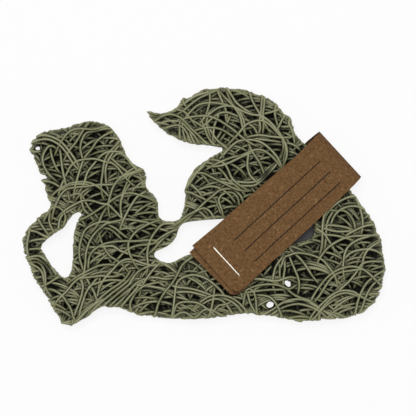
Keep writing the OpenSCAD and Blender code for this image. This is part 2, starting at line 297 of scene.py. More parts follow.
def lay(path, stiffness, lowest=STRAND_R, highest=np.inf):
    """Lays a strand on what is there: it rests on the high spots and bridges between them."""
    points, s = past_holes(path)
    at = cells_of(points[:, None, :] + FEEL)
    base = height[at[..., 0], at[..., 1]].max(1) + STRAND_R - SINK
    z = np.maximum(base, lowest)
    z = (z[None, :] - stiffness * (s[:, None] - s[None, :])**2).max(1)
    z = np.minimum(softened(z, [0.25, 0.5, 0.25]), highest)
    fine, t = resampled(points, CELL)
    stamp(fine, np.interp(t, s, z))
    return np.column_stack([points, z])


# The mat's body: each nozzle lays a strand in loops while the belt draws the mat away,
# so that later loops, nearer the hip, lie on the lower parts of earlier ones.
NOZZLE_PITCH = 7.0
ADVANCE = 1.95
LOOP_R = (6.5, 13.5)
SQUEEZE = (0.75, 1.0)
DRIFT = (0.0, 1.4)
SIZE_SPREAD = 1.0
SIDE_SPREAD = 1.2
FRONT_SPREAD = 0.9
PHASE_SPREAD = 0.4
TURN_STEPS = 44
X_LIMITS = (-66.0, 66.0)
Y_START = 60.0
Y_END = -52.0
FAR_OUTSIDE = -1.5
DRAPE = 0.8


def turn_path(nozzle, front, loop_r, squeeze, phase, hand, drift):
    """One turn of a nozzle's strand, which moves on by ADVANCE."""
    t = np.linspace(0, 1, TURN_STEPS + 1)
    angle = phase + hand * 2 * np.pi * t
    x = nozzle + drift * np.sin(2 * np.pi * (t + phase)) + loop_r * np.cos(angle)
    y = front - ADVANCE * t + squeeze * loop_r * np.sin(angle)
    return np.column_stack([x, y])


def base_strands():
    """The loops of all nozzles, laid from the flukes to the hip."""
    nozzles = np.arange(*X_LIMITS, NOZZLE_PITCH)
    size = rng.uniform(*LOOP_R, len(nozzles))
    phase = rng.uniform(0, 2 * np.pi, len(nozzles))
    hand = rng.choice([-1, 1], len(nozzles))
    laid = []
    for front in np.arange(Y_START, Y_END, -ADVANCE):
        for i in rng.permutation(len(nozzles)):
            size[i] = np.clip(size[i] + rng.normal(0, SIZE_SPREAD), *LOOP_R)
            side = rng.normal(0, SIDE_SPREAD)
            path = turn_path(nozzles[i] + side, front + rng.normal(0, FRONT_SPREAD), size[i],
                             rng.uniform(*SQUEEZE), phase[i], hand[i], rng.uniform(*DRIFT))
            phase[i] += rng.normal(0, PHASE_SPREAD)
            if rough_depth(path).max() >= FAR_OUTSIDE:
                laid.append(lay(path, DRAPE))
    return laid


loose = base_strands()

# Strands low in the pile, wherever it would let the floor show
FILL_R = (9.0, 14.0)
FILL_TURN = 1.1
FILL_POINTS = 140
FILL_PAST = 8
FILL_LEVEL = (0.15, 0.4)
MOST_FILLERS = 900
TRIES = 24
OPEN_INSIDE = 0.15
HOLE_ROOM = 0.3
COVERED_BY = 0.3
GRID_MARGIN = 2

places = cell_places(SHAPE, CELL)
is_open = rough_depth(places) > OPEN_INSIDE
for centre, half, _ in HOLES:
    is_open &= np.hypot(*(places - centre).T) > max(half) + HOLE_ROOM
is_open = is_open.reshape(SHAPE)
near_disc = disc_at[disc_far < COVERED_BY]


def mark_covered(path):
    """Marks the cells that a strand covers as no longer open."""
    at = cells_of(resampled(path, CELL)[0], GRID_MARGIN)[:, None, :] + near_disc
    is_open[at[..., 0], at[..., 1]] = False


def filler_through(spot):
    """Of some arcs through an open spot, the one that covers most, cut to what it covers."""
    r = rng.uniform(*FILL_R, TRIES)[:, None]
    heading = rng.uniform(0, 2 * np.pi, TRIES)[:, None]
    a = heading + np.linspace(-FILL_TURN, FILL_TURN, FILL_POINTS)
    arcs = spot + np.stack([r * (np.cos(a) - np.cos(heading)),
                            r * (np.sin(a) - np.sin(heading))], -1)
    at = cells_of(arcs, GRID_MARGIN)
    gains = is_open[at[..., 0], at[..., 1]]
    best = int(gains.sum(1).argmax())
    useful = np.flatnonzero(gains[best])
    first, last = useful[[0, -1]] if len(useful) else (FILL_POINTS // 2, FILL_POINTS // 2)
    arc = arcs[best][max(first - FILL_PAST, 0):last + FILL_PAST]
    return round_holes(resampled(arc, CELL)[0])


fillers = []
for strand in loose:
    mark_covered(strand)
while is_open.any() and len(fillers) < MOST_FILLERS:
    spots = np.argwhere(is_open)
    arc = filler_through(spots[rng.integers(len(spots))] * CELL + LOW)
    mark_covered(arc)
    fillers.append((resampled(arc, LAID_STEP)[0], rng.uniform(*FILL_LEVEL)))

# Strands that the photograph shows on top of the others, the first over the next. Each row
# holds one strand's corners in mm, x and y in turn, with y from a line GRID_DOWN below 0.
GRID_DOWN = 3.54
ON_TOP = [
    # Head
    [-56, 25.2, -52.5, 26.5, -49, 26, -45.8, 24.3, -43, 21, -41.3, 18.6],
    [-55.5, 24.2, -52, 25.2, -49.3, 25, -46.2, 23.2, -44, 20.5, -42.5, 18],
    [-47, 21.8, -48.5, 23, -49.8, 23.2, -51.2, 21.5, -52, 19, -51.3, 16.2, -49.5, 13.5,
     -47.3, 11.5],
    [-46.3, 21.5, -45.9, 18.5, -45.5, 15.5, -44.8, 12.5],
    [-49.5, 22, -49, 19.5, -48.2, 17.2],
    [-46, 10, -44, 14.5, -42.5, 17, -40.5, 18.3, -38, 18.8, -35, 18.9, -32.5, 18.2],
    [-41, 11.5, -40.3, 14, -39.5, 16.5, -38.3, 19.5, -36.2, 22, -34.5, 24.5, -32, 26.5,
     -29.5, 27.7],
    [-38.2, 12, -37.5, 14.5, -35.5, 17.2, -33, 20, -30.8, 21.2, -28.5, 21.3],
    [-45.2, 25.5, -43.8, 27.2, -41.5, 28.5, -38.5, 28.6, -35.5, 28.4, -32, 29.2, -30, 29.5],
    [-39.2, 19.5, -39.8, 22.5, -39, 25.5, -37.8, 27.3, -35.5, 27.8, -32.5, 28.5],
    [-43, 22, -41, 24.5, -39.5, 27],
    [-33, 11.3, -32.6, 14, -32.2, 17, -31.3, 19.8, -29.5, 22, -27.3, 24.5],
    [-31.5, 11.5, -31.7, 15, -31, 18, -29.5, 20.5, -27.8, 22.7],
    [-29.5, 17.5, -28, 16.5, -26.5, 14.5, -25.7, 13.5],
    [-28.5, 18, -26.5, 16.2, -25, 15],
    [-29.5, 19.2, -27.5, 20.8, -25, 19.5, -23.5, 17.5, -22.5, 16.5],
    [-30.5, 5.5, -29.7, 8.5, -28.5, 11, -26.5, 13, -24, 15, -21.5, 16.5],
    [-29, 12.5, -26, 13.4, -23, 14.6, -20, 15.5, -18.8, 15.4],
    [-27, 11.8, -24, 13.8, -21.5, 15.2, -19, 15.8],
    [-26, 8, -25, 10.5, -24, 13, -22.5, 14.3, -20, 14.9],
    [-46, 9.5, -43, 11, -40, 11.5, -37, 11.3, -34.5, 10.2, -32.5, 8.8, -31, 7.3],
    [-47.5, 4.5, -46.5, 6.5, -44.5, 9, -41.5, 9.7, -38, 10, -34.5, 10.5, -30.5, 10.6],
    [-48.8, 7.5, -46, 8.9, -43.5, 10.4, -40, 10.8, -36, 10.6, -32, 10.4],
    [-44, 2.8, -42, 4, -39.5, 5.2, -38, 5.6, -35.5, 5.3, -32.5, 4.4, -30.5, 4.1, -29, 2.5,
     -27.5, 1],
    [-40.5, -1, -38, 0, -35.5, 1.5, -33, 3.2, -31, 4.5, -28.5, 6.3, -26, 7.5, -23.5, 7.9,
     -20.5, 7.2, -18.5, 6.6],
    [-39.2, 4.5, -38.5, 2.5, -37, 1],
    [-38, 4.8, -36.8, 2.8, -35.5, 1.6],
    [-33.5, -1, -32.7, 1, -31.5, 3, -30.3, 5, -29.9, 7, -29.3, 9, -28.5, 10.5],
    [-25.5, 0, -24.5, 2, -23.3, 4, -22, 6, -20.8, 7.2, -19, 8.2],
    [-26.5, 0.5, -26.8, 3, -26.6, 5.5, -26, 7],
    [-49.8, 2, -48.8, 3.3, -47, 3.4, -45.5, 2.4, -44.5, 0.5, -45, -2],
    [-49.7, 1, -49.8, -1.5, -49, -3.3, -48.3, -4.8],
    [-53.7, 0, -52.5, -2, -51.3, -3.8],
    [-46.8, -3.5, -46.5, -1, -45.5, 1, -44.3, 1.6],
    # Arm and hip
    [-56.3, -4.2, -54, -4.6, -52, -5.6, -50.5, -6.3],
    [-56.5, -6, -56.9, -8, -57, -10, -56.6, -12],
    [-56, -12.8, -53.5, -12.3, -51.5, -13.2, -49.8, -14.9, -48.8, -16.3],
    [-56, -13.5, -54, -13.2, -51.8, -14.8, -50.5, -16.5, -49.5, -18],
    [-55.8, -14.6, -54, -14.3, -52.3, -15.6, -51.2, -17.5, -51, -19.5],
    [-54.8, -15.5, -53, -16.5, -51.8, -18.3, -51.5, -20.5],
    [-54.5, -19.8, -53, -19.1, -51.3, -19.5],
    [-52.5, -22.3, -50, -21.2, -48.2, -20, -46.8, -19.2],
    [-52, -23.2, -49, -23.2, -46.8, -24.2, -45.2, -25.6, -44, -27.5, -42.8, -29.5, -42, -32],
    [-46, -25.5, -44.2, -23.8, -42.3, -21.5, -40.8, -20, -39.5, -19.3],
    [-43, -18.8, -41, -19, -39.5, -20.2, -38.9, -22, -39.2, -24.5, -40.3, -28, -41.5, -31,
     -42.3, -33.8],
    [-40, -18.6, -37, -17, -34, -15.6, -31, -15.2, -29.3, -15.3],
    [-38.5, -19.4, -35.5, -19.1, -33, -18.7, -31.5, -19],
    [-37.5, -23.5, -36.5, -21.9, -34.5, -21.2, -32, -20.4, -29.5, -20.1, -27, -20.3],
    [-38.5, -17.5, -38.1, -14.5, -38, -12, -37.3, -9.2, -36.4, -7, -35, -5, -33.4, -3.5,
     -31.5, -2, -29.5, -1.5, -27, -0.9, -24.5, -0.6, -22, -0.9, -19, -1.4],
    [-37.2, -15, -36.8, -12.5, -35.3, -10.4, -33, -8.9, -30.5, -8.1, -28, -7.7, -25, -7.6,
     -22, -7.6, -19, -7.3],
    [-38.8, -17, -40, -13, -40, -9.5, -39.3, -6.5, -38.2, -4, -36.5, -2.7, -34.3, -1.7, -32, -1.3,
     -30.5, -1.5],
    [-34, -9.5, -31.5, -9.3, -29, -9.2, -27.3, -10.5, -26, -11],
    [-31.7, -10.3, -30.2, -12.5, -28.5, -13.5],
    [-32.5, -20.5, -31, -18.5, -29.3, -16.8, -27.5, -14.8, -25.8, -13.7, -24, -13.4, -22, -13.8,
     -20, -14.6, -18, -15.2],
    [-32, -19.8, -30.3, -18, -28.6, -16.2, -27, -15, -25.2, -14.3, -23.3, -14.3, -21.5, -15,
     -19.8, -15.3],
    [-23.5, -12.5, -24.2, -10.5, -24.3, -8.5, -23.3, -6.3, -21.5, -4.3, -19.5, -3, -18, -2.2],
    [-27.5, -13.2, -26, -11.5, -24.5, -10.3, -22, -9.2, -19.5, -8.8, -18, -8.7],
    [-32, -3.5, -30.5, -3.6, -29, -4.6, -27.5, -6, -26.3, -7.3],
    [-30, -2.7, -28.3, -3.6, -26.5, -5.2, -25, -6.3, -24, -7],
    [-35, -27.5, -32.5, -25.2, -30, -23.2, -27.5, -21.6],
    [-34.5, -28.5, -31.5, -26, -28.8, -23.8, -26, -21.8],
    [-33, -29, -30, -26.5, -27, -24, -24.5, -22],
    [-31, -29.2, -28, -26.5, -25.3, -24.3, -23, -22.5],
    [-29.5, -29.3, -26.5, -26.7, -24.3, -24.2, -22.3, -21.5, -19.5, -20],
    [-27.5, -29.6, -26, -28, -24.2, -25.8, -22.5, -24],
    [-40.5, -33, -38.5, -30.8, -36.5, -29, -34.5, -27.5],
    [-40, -31.5, -38, -29.5, -36, -28],
    [-36.5, -22.2, -37.8, -24.2, -38.8, -26.8, -39.8, -30],
    [-37.5, -20, -36.5, -22, -35.3, -24, -34.8, -25.5],
    [-33.7, -21.5, -33.8, -23.5, -34.5, -25.8],
    [-23.7, -21, -22.3, -18.8, -20.5, -17, -18, -15.8],
    [-23.5, -30, -23.8, -28, -23, -26, -21.5, -23.8, -19.5, -22.2, -17.5, -21.5],
    # Hip middle
    [-18, -14, -18.2, -11.5, -17.3, -7.5, -15.5, -4.5, -13.3, -2.2, -10.5, -1.9],
    [-17.3, -8.8, -15, -7.3, -12.5, -5.6, -10, -4.3, -8.3, -3.6],
    [-17, -11, -15.2, -9.2, -13.3, -7, -11, -5.3],
    [-20, -2.5, -17.5, -1.7, -15, -1.5, -13.5, -2],
    [-19.5, -18.5, -18, -16.5, -16.5, -14.8, -15, -13.2],
    [-18.5, -19.8, -16.8, -17.5, -15, -15.5, -13, -13.8],
    [-20, -20.9, -18, -19.8, -15.5, -19.3, -13.7, -19.7],
    [-15.3, -30.3, -14.5, -27.5, -12.5, -24, -10, -21, -8.3, -18, -6.8, -15.2, -4.5, -13.3],
    [-10, -31, -9.6, -28, -9.3, -25, -8.8, -21.5, -7.5, -19.8, -5.5, -18.9, -3, -18.5, 0, -19.3,
     2.5, -20.8, 5, -23],
    [-9.7, -31, -8.6, -28, -6, -27.2, -2, -27.5, 0.5, -29, 2.5, -30.5],
    [-20, -21.9, -17, -22.2, -14, -22.7],
    [-20, -22.3, -17, -22.5, -14, -23, -12.3, -23.8],
    [-8, -22.5, -5, -22.8, -2, -23.5, 0.5, -24.3],
    [-7.5, -24, -4.5, -24, -1, -24.8],
    [-1, -27.2, 1.5, -25.6, 4.5, -25, 8, -25.5, 11, -27.2, 13.3, -29.5, 14.5, -31.3],
    [-0.5, -28, 2, -26.6, 4.5, -26.2, 6.5, -27.2, 8, -29, 9.3, -31],
    [6, -26.1, 8.5, -26.8, 10.5, -28.2, 12, -30],
    [2.5, -29.5, 2.8, -28, 3, -27],
    [3.7, -29.5, 4.8, -28.3, 6.2, -28.2],
    [-1.5, -31.2, 0, -29.8, 2, -29.6, 4, -30.5, 6, -31.6],
    [-9.5, -32, -7.5, -30.6, -5.5, -30.7, -4, -31.8],
    [13, -26.5, 13.5, -24, 14.5, -22.8, 16, -23.8, 16.8, -26, 17, -29, 17.3, -31.5],
    [14.3, -25, 15, -27.5, 16, -29.5, 17, -31],
    [16, -19.8, 18.5, -19.8, 21, -20.2, 24, -20.5],
    [15.5, -22.5, 18, -21.8, 21, -21.5, 24, -21.6],
    [16, -23.8, 19, -23.5, 22, -23.3, 24, -23.3],
    # Tail
    [15.5, -20, 19, -20, 22, -20.5, 24.5, -21.6, 27, -23.2, 29, -24.8, 31.5, -26, 33, -26.3],
    [16.5, -23.2, 18.5, -22.1, 21.5, -21.5, 24.5, -22, 27.5, -23.8, 29.5, -25.2],
    [16.5, -25, 19, -25.1, 21.5, -25.7, 23, -27.3, 24, -29],
    [17.5, -23.6, 20.5, -23.3, 23.5, -23.2, 26, -23.8],
    [25.5, -14.5, 26, -12.8, 27.5, -12.2, 30, -11.4, 33, -11.7, 36, -12.5, 38.5, -13.8, 40, -15.5,
     41.5, -17.5],
    [27.5, -12, 28.3, -14.2, 29.5, -17, 30.5, -19.5, 30.9, -22, 30.5, -24.5],
    [29.5, -11.8, 31.3, -13.4, 33, -15.6, 34.5, -18, 35.6, -19.5],
    [25, -20, 28, -19.2, 31, -19.9, 34, -20.2, 37, -20.3],
    [22.5, -18.5, 23.2, -16, 24.5, -14],
    [25.8, -19, 26.2, -16.5, 26.2, -14],
    [24.5, -18, 24.6, -16, 24.3, -14.8],
    [35, -26, 36.5, -23.5, 38.5, -20.8, 40.5, -18.7, 43, -17, 46, -16, 48.5, -15.8, 51, -16.5,
     53, -17.8, 54.3, -19],
    [37.5, -25, 39.5, -21.8, 41.5, -19.2, 44, -17.7, 47, -17.2, 49.5, -16.8],
    [20, -30.8, 23, -28.8, 26.5, -27, 30, -26.3, 33, -26.7, 35.5, -27.8],
    [19.5, -30.5, 22, -29.3, 25, -27.7, 28, -27, 31, -26.7, 33.5, -27.2, 36, -28.5],
    [22, -31.2, 25, -29.3, 28, -28.2, 31, -27.9, 34, -28.6, 36.5, -29.7],
    [35, -31.5, 36.3, -29.7, 38.5, -27.5, 41, -25.2, 43.5, -23.8, 46, -23.5, 48.5, -24, 50, -25],
    [36.5, -31.5, 38.5, -28.8, 41, -26.2, 43.5, -24.8, 46, -24.3, 48.5, -24.9],
    [37.3, -32.5, 37.5, -30.5, 39, -28.8],
    [44.5, -22.7, 47, -20.5, 49.5, -17.3, 51, -15, 53.5, -14.2, 57, -14.2],
    [49, -30.5, 49.6, -27.5, 50.5, -24.8, 52, -22, 54, -19.8, 56.5, -18, 58.3, -17.2],
    [51.5, -28, 52.5, -25, 54, -22.5, 56, -20.5, 58.3, -19.3],
    [38, -12.3, 40, -9.8, 42.5, -8, 45, -6.8, 47.5, -6.1, 50, -5.9, 53, -5.8, 56, -5.7],
    [45, -15.5, 45.2, -13, 46, -10.3, 47.8, -8.3, 50.2, -7, 52.5, -6.3],
    [51.2, -15, 51.7, -12.5, 53, -10.3, 55.5, -8.5, 57.7, -7.2],
    [46, -12.7, 47.5, -11.3, 50, -10.5, 53, -10.2, 55.5, -10.7, 57.5, -12],
    [36, -3.5, 37.5, -4.2, 39, -5.4, 40.2, -7.3, 41, -8.3],
    [40.2, -5.6, 43, -5.9, 45.5, -6.5],
    [41.5, -2.5, 44, -2.8, 46, -3.2],
    [40.5, -4, 43, -4.5, 45.5, -4.5],
    [48, -4.5, 50.5, -3.3, 53, -2.5, 55.3, -2.3],
    [38.3, -7, 38.3, -3, 38.8, 0.5, 40, 2.5],
    [39.5, -6.5, 39.6, -3, 40.3, -0.5, 41.7, 1.7],
    # Stalk right
    [38.5, -3, 39.3, 0.3, 41, 2.8, 43.5, 5, 46, 6.3, 48.7, 7],
    [41, -2.5, 42, 0.3, 44, 2.5, 47, 3.6, 49.5, 3.6, 51.8, 2.8],
    [43, 2.2, 45.5, 2.2, 47.5, 0.3, 48.5, -1.5, 48.9, -3.5],
    [50.5, 2.8, 51.2, 0, 51.3, -2],
    # Flukes and waist
    [-16, 31, -13, 32.8, -10.5, 33.3, -8, 32.5, -5.8, 30.7, -4, 28.6, -2, 26.8, 0, 24.8,
     1.5, 23.6],
    [-13, 28.5, -11, 29.3, -8.5, 29.8, -6.5, 28.9, -5, 26.5, -4, 24],
    [-8, 34.7, -6, 34, -4.8, 32.6],
    [-5, 32.2, -2, 32.7, 1.5, 32.7, 4.5, 31.6, 7.5, 29.8, 10, 28, 12, 26.2, 13.5, 25],
    [-2, 28.3, 0, 28.8, 3, 29, 6, 28.3, 8.5, 26.8, 10.5, 25.5],
    [2, 33.5, 4, 35, 7, 36, 10, 35.6, 12.5, 34.3, 15.5, 33.2, 18.5, 32.8, 21, 31.2, 23, 29],
    [5.5, 19.2, 8, 22, 10.5, 24.3, 13, 25, 16, 25, 19, 24, 21.5, 22, 23.5, 19.8, 24.5, 18],
    [13.5, 24.8, 16.5, 25.4, 20, 25, 23.5, 24.6],
    [15.5, 26.3, 18, 26.6, 21, 26.2, 24.5, 25.8],
    [12, 28, 13.5, 29.8, 16, 31, 18.5, 31.3, 20.5, 30.5, 23, 28.2, 25.5, 25.3, 26.7, 23, 26.8, 20,
     26, 17.5],
    [20, 31.8, 22.5, 30, 24.5, 27.3, 26, 24.5, 26.5, 22, 26, 19.8],
    [22, 30.3, 24, 28, 25.3, 25.3, 25.8, 23, 25.3, 20.3],
    [1.5, 18.8, 4.5, 18.4, 6.8, 17.3, 8, 15.2, 9, 12.8, 10.5, 11.3],
    [0.5, 17.8, 3, 17.3, 5, 15.8, 6.8, 14, 8, 12, 9.8, 10.7],
    [-3, 14.3, 0, 14.3, 2.5, 13, 5, 11.8, 7.5, 10.5, 9.5, 9.5],
    [7, 11.3, 10, 10.6, 13.5, 10.2, 16.5, 10.4, 18.8, 12, 21, 14.2, 23, 16.5],
    [7.5, 12.2, 10.5, 11.6, 14, 11.3, 17, 11.6, 19, 13, 21.5, 15.5],
    [14.3, 19.5, 14.1, 16.5, 15, 13.5, 16, 12.5],
    [14, 20.8, 16, 21.7, 18.5, 21.9, 21, 20.6, 23.2, 18.5],
    [15.8, 21, 17.2, 19, 18.5, 16.8, 19, 15.5],
    [6.5, 17, 9, 18, 12, 19.5, 14, 20.3],
    [6, 18.2, 9.5, 19.5, 12.5, 20],
    [-7.5, -1.2, -5, 0.8, -2.5, 2.2, 0.5, 5, 3, 7, 5, 8.7, 7.5, 9.3, 10, 8.8, 12, 7, 12.8, 5],
    [5.5, 3.5, 4.8, 5.5, 5.8, 7.3, 7.8, 8.2, 9.8, 7.8, 11.2, 6, 11.5, 4],
    [5, 3, 5.5, 1.5, 6.5, 0.5],
    [-4.5, 0.2, -2.5, 2, 0, 3.1, 2, 2, 3.3, 0],
    [-6.3, 8.4, -4, 8, -2, 7, 0.5, 5.8],
    [-5, 11.5, -3.8, 13.5, -2, 14.8],
    [-1, 9.2, 1.5, 10, 4, 9.9, 6, 9],
    [-5.5, 9.8, -4, 11.8, -2.5, 14, -1, 16],
    # Upper fluke, under those
    [-4.8, 33.5, -2.5, 35.8, -0.2, 36.8, 3.2, 37, 6.2, 36.6],
    [-5.8, 35, -3.8, 36.8, -1.5, 38.4, 0.5, 39.4, 2.5, 40.2],
    [-5.5, 37.3, -3.5, 38.8, -1.5, 39.6, 1, 40.3],
    [2, 41, 2, 38, 1.7, 36, 1, 33.7],
    [4.2, 41.5, 5.7, 38.1, 6.5, 36.4],
    [5.2, 40.6, 6.2, 39.4, 8.2, 37.4, 9.5, 36.1, 10.8, 35],
    [7.8, 41.3, 8.8, 39.8, 10.5, 37.1, 12.7, 35.3, 15.1, 33.8, 17, 33.2],
    [14.5, 41, 15.1, 39.4, 15.8, 37.4, 17.1, 35.1, 18.1, 33.4, 18.8, 32],
    [19, 40.5, 18.7, 36.8, 18.5, 34.1, 18.2, 32.4],
    [19.6, 39.5, 19.5, 35.8, 19.1, 33.8, 19.3, 32],
    [23.8, 37.3, 23, 34.8, 23.1, 32.4, 23.8, 30.1],
    [19.1, 33.4, 21.1, 33.8, 23.1, 34.4, 25.8, 35.2],
    [27.2, 34.4, 25.5, 31.8, 24.6, 30.1],
    [28.4, 33.5, 27.4, 30.4, 28.1, 29.1],
    [23.8, 29.8, 25.5, 29.3, 27.1, 29.3, 29.8, 30.1],
    [13.8, 30.3, 15.1, 29.9, 16.5, 28.8, 17, 27.6],
    [18.1, 30.4, 18.3, 28.8, 17.8, 27.1],
    [17.6, 29.7, 19.1, 29.4, 21.1, 28.4, 22.8, 27, 24.4, 25.6],
    [10, 35.4, 11.1, 33.8, 12, 31.8, 12.3, 30.1],
    [10.8, 35.1, 12.1, 33.1, 13, 31.1, 13.1, 29.6],
    [1.5, 30.8, 3.2, 32.4, 5.5, 33.8, 7.8, 33.9, 10.5, 32.9, 13, 31.9],
    [6.5, 35.1, 7, 33.4, 7.3, 31.4],
    [1.2, 31.8, 0.8, 30.4, 1.2, 29.4],
    [4.2, 31.4, 3.5, 29.8, 3.2, 27.8],
    [1.8, 29.1, 2.8, 27.1, 4.2, 25.1, 6.2, 23.5, 7.5, 22.5],
    [0.5, 28.4, 1.2, 26.4, 2.5, 24.4, 3.8, 23.2],
    [-5, 28.5, -2.8, 26.1, -1.3, 23.6],
    [-7.8, 29.1, -7.7, 27.1, -7.8, 24.8],
    [-6.8, 29.1, -6.5, 27.1, -5.6, 24.3],
    [-5.5, 28.8, -5.3, 26.8, -4.4, 23.6],
    [-4.5, 27.8, -3.8, 25.8, -2.6, 23.4],
    [-10.6, 34, -7.8, 34.8, -6.2, 33.8, -5.2, 33.1],
    [-6.3, 38.9, -6.7, 37.1, -5.5, 35.8],
    [-4.2, 31.8, -2.8, 30.8, -1.5, 30.1],
    [-2.2, 29.8, -0.8, 30.8, 0, 32],
    [4.5, 25.8, 5.5, 27.5, 6.5, 29.1, 7.5, 30.5],
    [5.8, 25.5, 7, 27.2],
    [-18.6, 33.9, -16.8, 33.9, -15.1, 33.4, -13.5, 34],
]
TOP_DRAPE = 0.25
TUCK_POINTS = 6
TUCK_TURN = (0.02, 0.10)
TUCK_SLOPE = 0.5


def tucked_in(strand):
    """Carries both ends of a strand on, bending and going down among the others."""
    ends = []
    for a, b in [(strand[0], strand[3]), (strand[-1], strand[-4])]:
        away = math.atan2(a[1] - b[1], a[0] - b[0])
        turn = rng.choice([-1, 1]) * rng.uniform(*TUCK_TURN)
        at, points = a.copy(), []
        for k in range(TUCK_POINTS):
            away += turn
            at = at + [math.cos(away), math.sin(away), -TUCK_SLOPE * min(k / 2, 1)]
            points.append(at)
        ends.append(points)
    return np.vstack([ends[0][::-1], strand, ends[1]])


# The pile is brought to one height, smoothly, with the strands' order kept
PILE_TOP = 7.35
BLOCK = 10
TALL_PERCENT = 85
BARE_BELOW = 2
SMOOTHINGS = 3


def pile_tops():
    """How high the pile reaches, block by block, smoothed."""
    n, m = SHAPE[0] // BLOCK, SHAPE[1] // BLOCK
    tall = height.reshape(n, BLOCK, m, BLOCK).swapaxes(1, 2).reshape(n, m, -1)
    tall = np.percentile(tall, TALL_PERCENT, axis=2)
    tall[tall < BARE_BELOW] = np.median(tall[tall >= BARE_BELOW])
    for _ in range(SMOOTHINGS):
        wide = np.pad(tall, 1, mode="edge")
        tall = sum(wide[i:i + n, j:j + m] for i in range(3) for j in range(3)) / 9
    return tall


PILE_TOPS = pile_tops()


def pile_height(points):
    """How high the pile reaches at points."""
    return between_cells(PILE_TOPS, (points - LOW) / (CELL * BLOCK) - 0.5)


LOWEST = STRAND_R
HIGHEST = MAT_TOP - STRAND_R
MIDDLE = MAT_TOP / 2
MOST_SHARE = 1.08
RAMP_LOW = -12.45
BAND_ROOM = 1.3
BAND_EASE = 2.5
BAND_GAP = 0.06
BAND_LOWEST = BACK_Z + CARD_T + STRAND_R + BAND_GAP
EDGE_EASE = 2.0
EDGE_PRESS = 0.12


def over_card(points):
    """How far, from 0 to 1, a place lies over the back panel, which passes under the mat."""
    across = (points - TAG_START) @ TAG_ACROSS
    side = CARD_W / 2 + BAND_ROOM - np.abs(across)
    up = points[:, 1] - (RAMP_LOW - BAND_ROOM)
    return np.clip(np.minimum(side, up) / BAND_EASE + 1, 0, 1)


def settled(strand):
    """A strand of the pile, brought to the height that its place in the pile gives it."""
    xy, z = strand[:, :2], strand[:, 2]
    share = np.clip((z - LOWEST) / (pile_height(xy) - 2 * STRAND_R), 0, MOST_SHARE)
    low = LOWEST + (BAND_LOWEST - LOWEST) * over_card(xy)
    return np.column_stack([xy, low + (PILE_TOP - STRAND_R - low) * share])


def eased_edge(strand):
    """Near the cut the strands are pressed a little together."""
    edge = np.clip(1 - rough_depth(strand[:, :2]) / EDGE_EASE, 0, 1)
    z = strand[:, 2] + (MIDDLE - strand[:, 2]) * EDGE_PRESS * edge
    z = softened(z, [0.2, 0.6, 0.2])
    return np.column_stack([strand[:, :2], np.clip(z, LOWEST, HIGHEST)])


loose += [np.column_stack([line, LOWEST + level * (pile_height(line) - 2 * STRAND_R)])
          for line, level in fillers]
base = [settled(strand) for strand in loose]
height[:] = 0
for strand in base:
    fine = resampled(strand, CELL)[0]
    stamp(fine[:, :2], fine[:, 2])

traced = []
for row in ON_TOP[::-1]:
    line = smooth_line(np.array(row, float).reshape(-1, 2) - [0, GRID_DOWN])
    traced.append(past_holes(tucked_in(lay(line, TOP_DRAPE, highest=HIGHEST)))[0])
strands = [eased_edge(strand) for strand in base + traced]

# Tubes, cut at the outline
RING_GAP = 1.0
SIDES = 6
TOP_SIDES = 8
TOP_LEVEL = 5.0
EXACT_WITHIN = 2.0
# Runs go PAST_CUT beyond the cut, but a SHORT_ENDS share of their ends stops up to SHORT_BY
# short of it. A run of no more than SHORTEST is left out.
PAST_CUT = 0.7
SHORT_ENDS = 0.42
SHORT_BY = 0.5
SHORTEST = 1.5
WAVE = 0.05
WAVE_STEP = 3


def exact_depths(lines):
    """The depth of every point of every line, exact near the outline."""
    points = np.vstack([line[:, :2] for line in lines])
    depth = rough_depth(points)
    near = np.abs(depth) < EXACT_WITHIN
    depth[near] = signed_depth(points[near])[0]
    return np.split(depth, np.cumsum([len(line) for line in lines])[:-1])


def kept_runs(fine, depth):
    """The parts of a strand inside the outline, carried past the cut or ending short of it."""
    s = travelled(np.linalg.norm(np.diff(fine, axis=0), axis=1))
    changes = np.flatnonzero(np.diff(np.concatenate([[0], depth > 0, [0]])))
    kept = []
    for i, j in zip(changes[::2], changes[1::2] - 1):
        is_short = rng.uniform(size=2) < SHORT_ENDS
        reach = np.where(is_short, -rng.uniform(0, SHORT_BY, 2), PAST_CUT)
        start = s[i] - reach[0] if i else s[0]
        stop = s[j] + reach[1] if j + 1 < len(fine) else s[-1]
        if s[j] - s[i] > SHORTEST:
            rings = max(int(round((stop - start) / RING_GAP)), 2) + 1
            kept.append(points_at(np.linspace(start, stop, rings), s, fine))
    return kept


def unit(vectors):
    """The vectors at length 1."""
    return vectors / np.linalg.norm(vectors, axis=-1)[..., None]


def rings_round(path, side, up, radius, sides):
    """Rings of points round a path, in the planes that side and up span."""
    a = np.arange(sides) * 2 * np.pi / sides
    return path[:, None, :] + radius * (np.cos(a)[None, :, None] * side[:, None, :]
                                        + np.sin(a)[None, :, None] * up[:, None, :])


def tube(run, sides, radius):
    """Rings round a run, with each point's place along and round the strand."""
    along = unit(np.gradient(run, axis=0))
    side = unit(np.cross(along, [0, 0, 1.0]))
    n = len(run)
    knots = np.arange(0, n + 3 * WAVE_STEP, WAVE_STEP)
    wave = np.interp(np.arange(n), knots, rng.uniform(-1, 1, len(knots)))
    r = radius * (1 + WAVE * wave)[:, None, None]
    s = travelled(np.linalg.norm(np.diff(run, axis=0), axis=1))
    a = np.arange(sides) * 2 * np.pi / sides
    grain = np.stack(np.broadcast_arrays(s[:, None], np.cos(a), np.sin(a)), -1)
    return rings_round(run, side, np.cross(side, along), r, sides), grain


